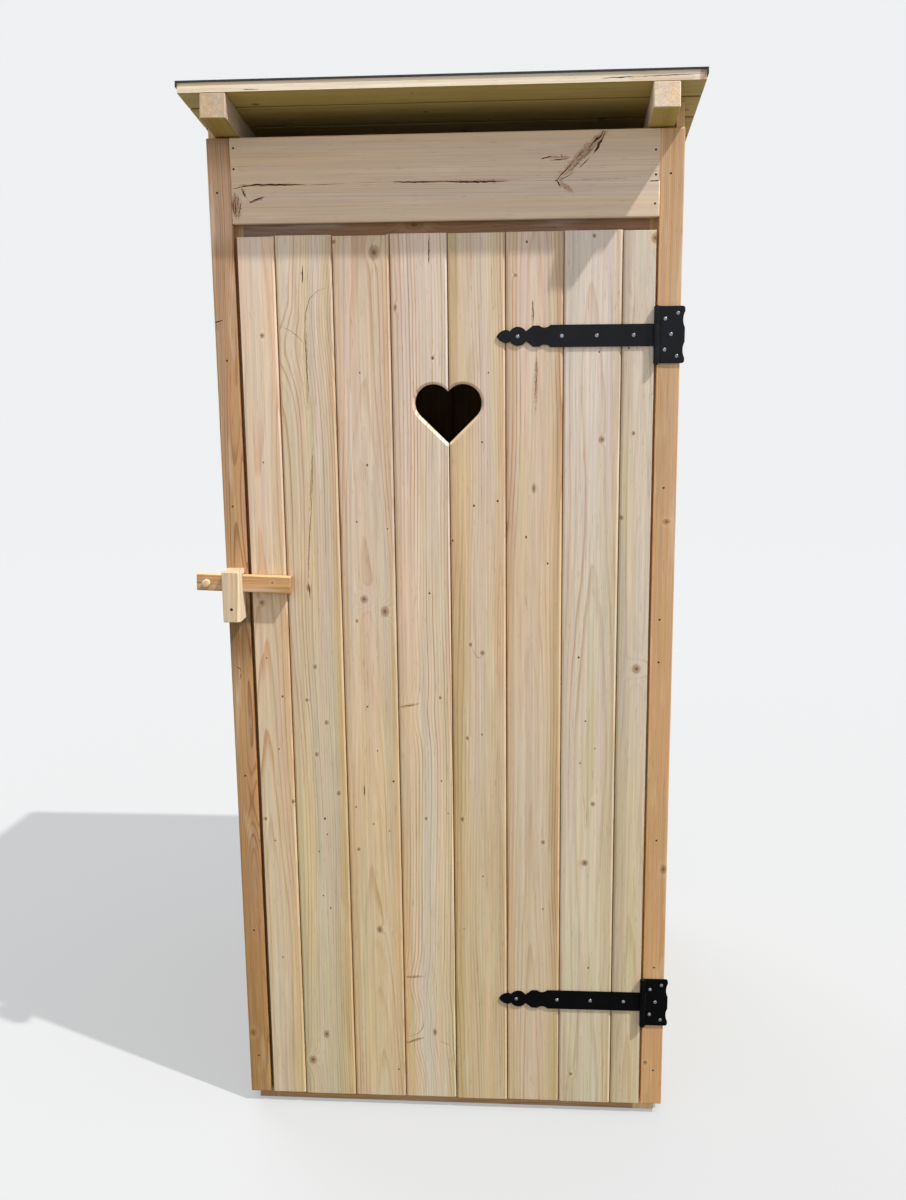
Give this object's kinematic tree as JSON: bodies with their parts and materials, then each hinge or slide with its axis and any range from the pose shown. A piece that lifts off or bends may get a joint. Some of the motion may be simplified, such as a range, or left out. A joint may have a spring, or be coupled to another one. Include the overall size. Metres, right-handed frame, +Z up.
{
  "type": "wooden garden outhouse",
  "caption": "Narrow garden privy of upright tongue-and-groove boards with a lean-to roof, a boarded door with a heart cut-out, strap hinges and a sliding wooden bolt.",
  "frame": {"origin": "on the ground under the middle of the floor, where the middle floor joist rests", "axes": "+Z up, -Y towards the door front, +X to the right of someone facing the door"},
  "size_m": [0.9865, 1.1911, 2.1176],
  "materials": {
    "frame_timber": "sawn softwood",
    "trim_timber": "planed pine, orange-brown",
    "header_timber": "planed pine, pinkish beige",
    "floor_boards": "planed softwood",
    "wall_boards": "planed pine, untreated",
    "door_boards": "planed pine, untreated",
    "roof_timber": "planed pine, yellowish",
    "roof_felt": "bitumen roofing felt, matte",
    "black_steel": "satin black",
    "zinc_steel": "zinc-plated screw heads",
    "keeper_wood": "planed pine, pale",
    "bar_wood": "planed larch, orange-brown"
  },
  "bodies": {
    "cabin": {"post_front_left": "frame_timber", "post_front_right": "frame_timber", "post_back_left": "frame_timber", "post_back_right": "frame_timber", "sill_rail": "frame_timber", "bottom_rail_left": "frame_timber", "bottom_rail_right": "frame_timber", "bottom_rail_back": "frame_timber", "mid_rail_left": "frame_timber", "mid_rail_right": "frame_timber", "mid_rail_back": "frame_timber", "back_top_rail": "frame_timber", "header_rail": "frame_timber", "floor_joist": "frame_timber", "front_trim_left": "trim_timber", "front_trim_right": "trim_timber", "header_board": "header_timber", "floor_boards": "floor_boards", "left_wall": "wall_boards", "right_wall": "wall_boards", "back_wall": "wall_boards", "rafter_left": "roof_timber", "rafter_right": "roof_timber", "roof_deck": "roof_timber", "roof_felt": "roof_felt", "hinge_plate_upper": "black_steel", "hinge_plate_lower": "black_steel", "hinge_pins": "black_steel", "latch_keeper": "keeper_wood"},
    "door": {"door_board_1": "door_boards", "door_board_2": "door_boards", "door_board_3": "door_boards", "door_board_4": "door_boards", "door_board_5": "door_boards", "door_board_6": "door_boards", "door_board_7": "door_boards", "door_board_8": "door_boards", "door_ledge_upper": "frame_timber", "door_ledge_lower": "frame_timber", "hinge_strap_upper": "black_steel", "hinge_strap_lower": "black_steel"},
    "bolt": {"latch_bar": "bar_wood", "latch_peg": "keeper_wood"}
  },
  "joints": [
    {"name": "door_hinge", "type": "hinge", "parent": "cabin", "child": "door", "pos_m": [0.405, -0.506, 0.962], "axis": [0, 0, 1], "range_deg": [0, 170]},
    {"name": "bolt_slide", "type": "slide", "parent": "cabin", "child": "bolt", "axis": [0.9994, 0, -0.0349], "range_m": [-0.09, 0.024]}
  ]
}
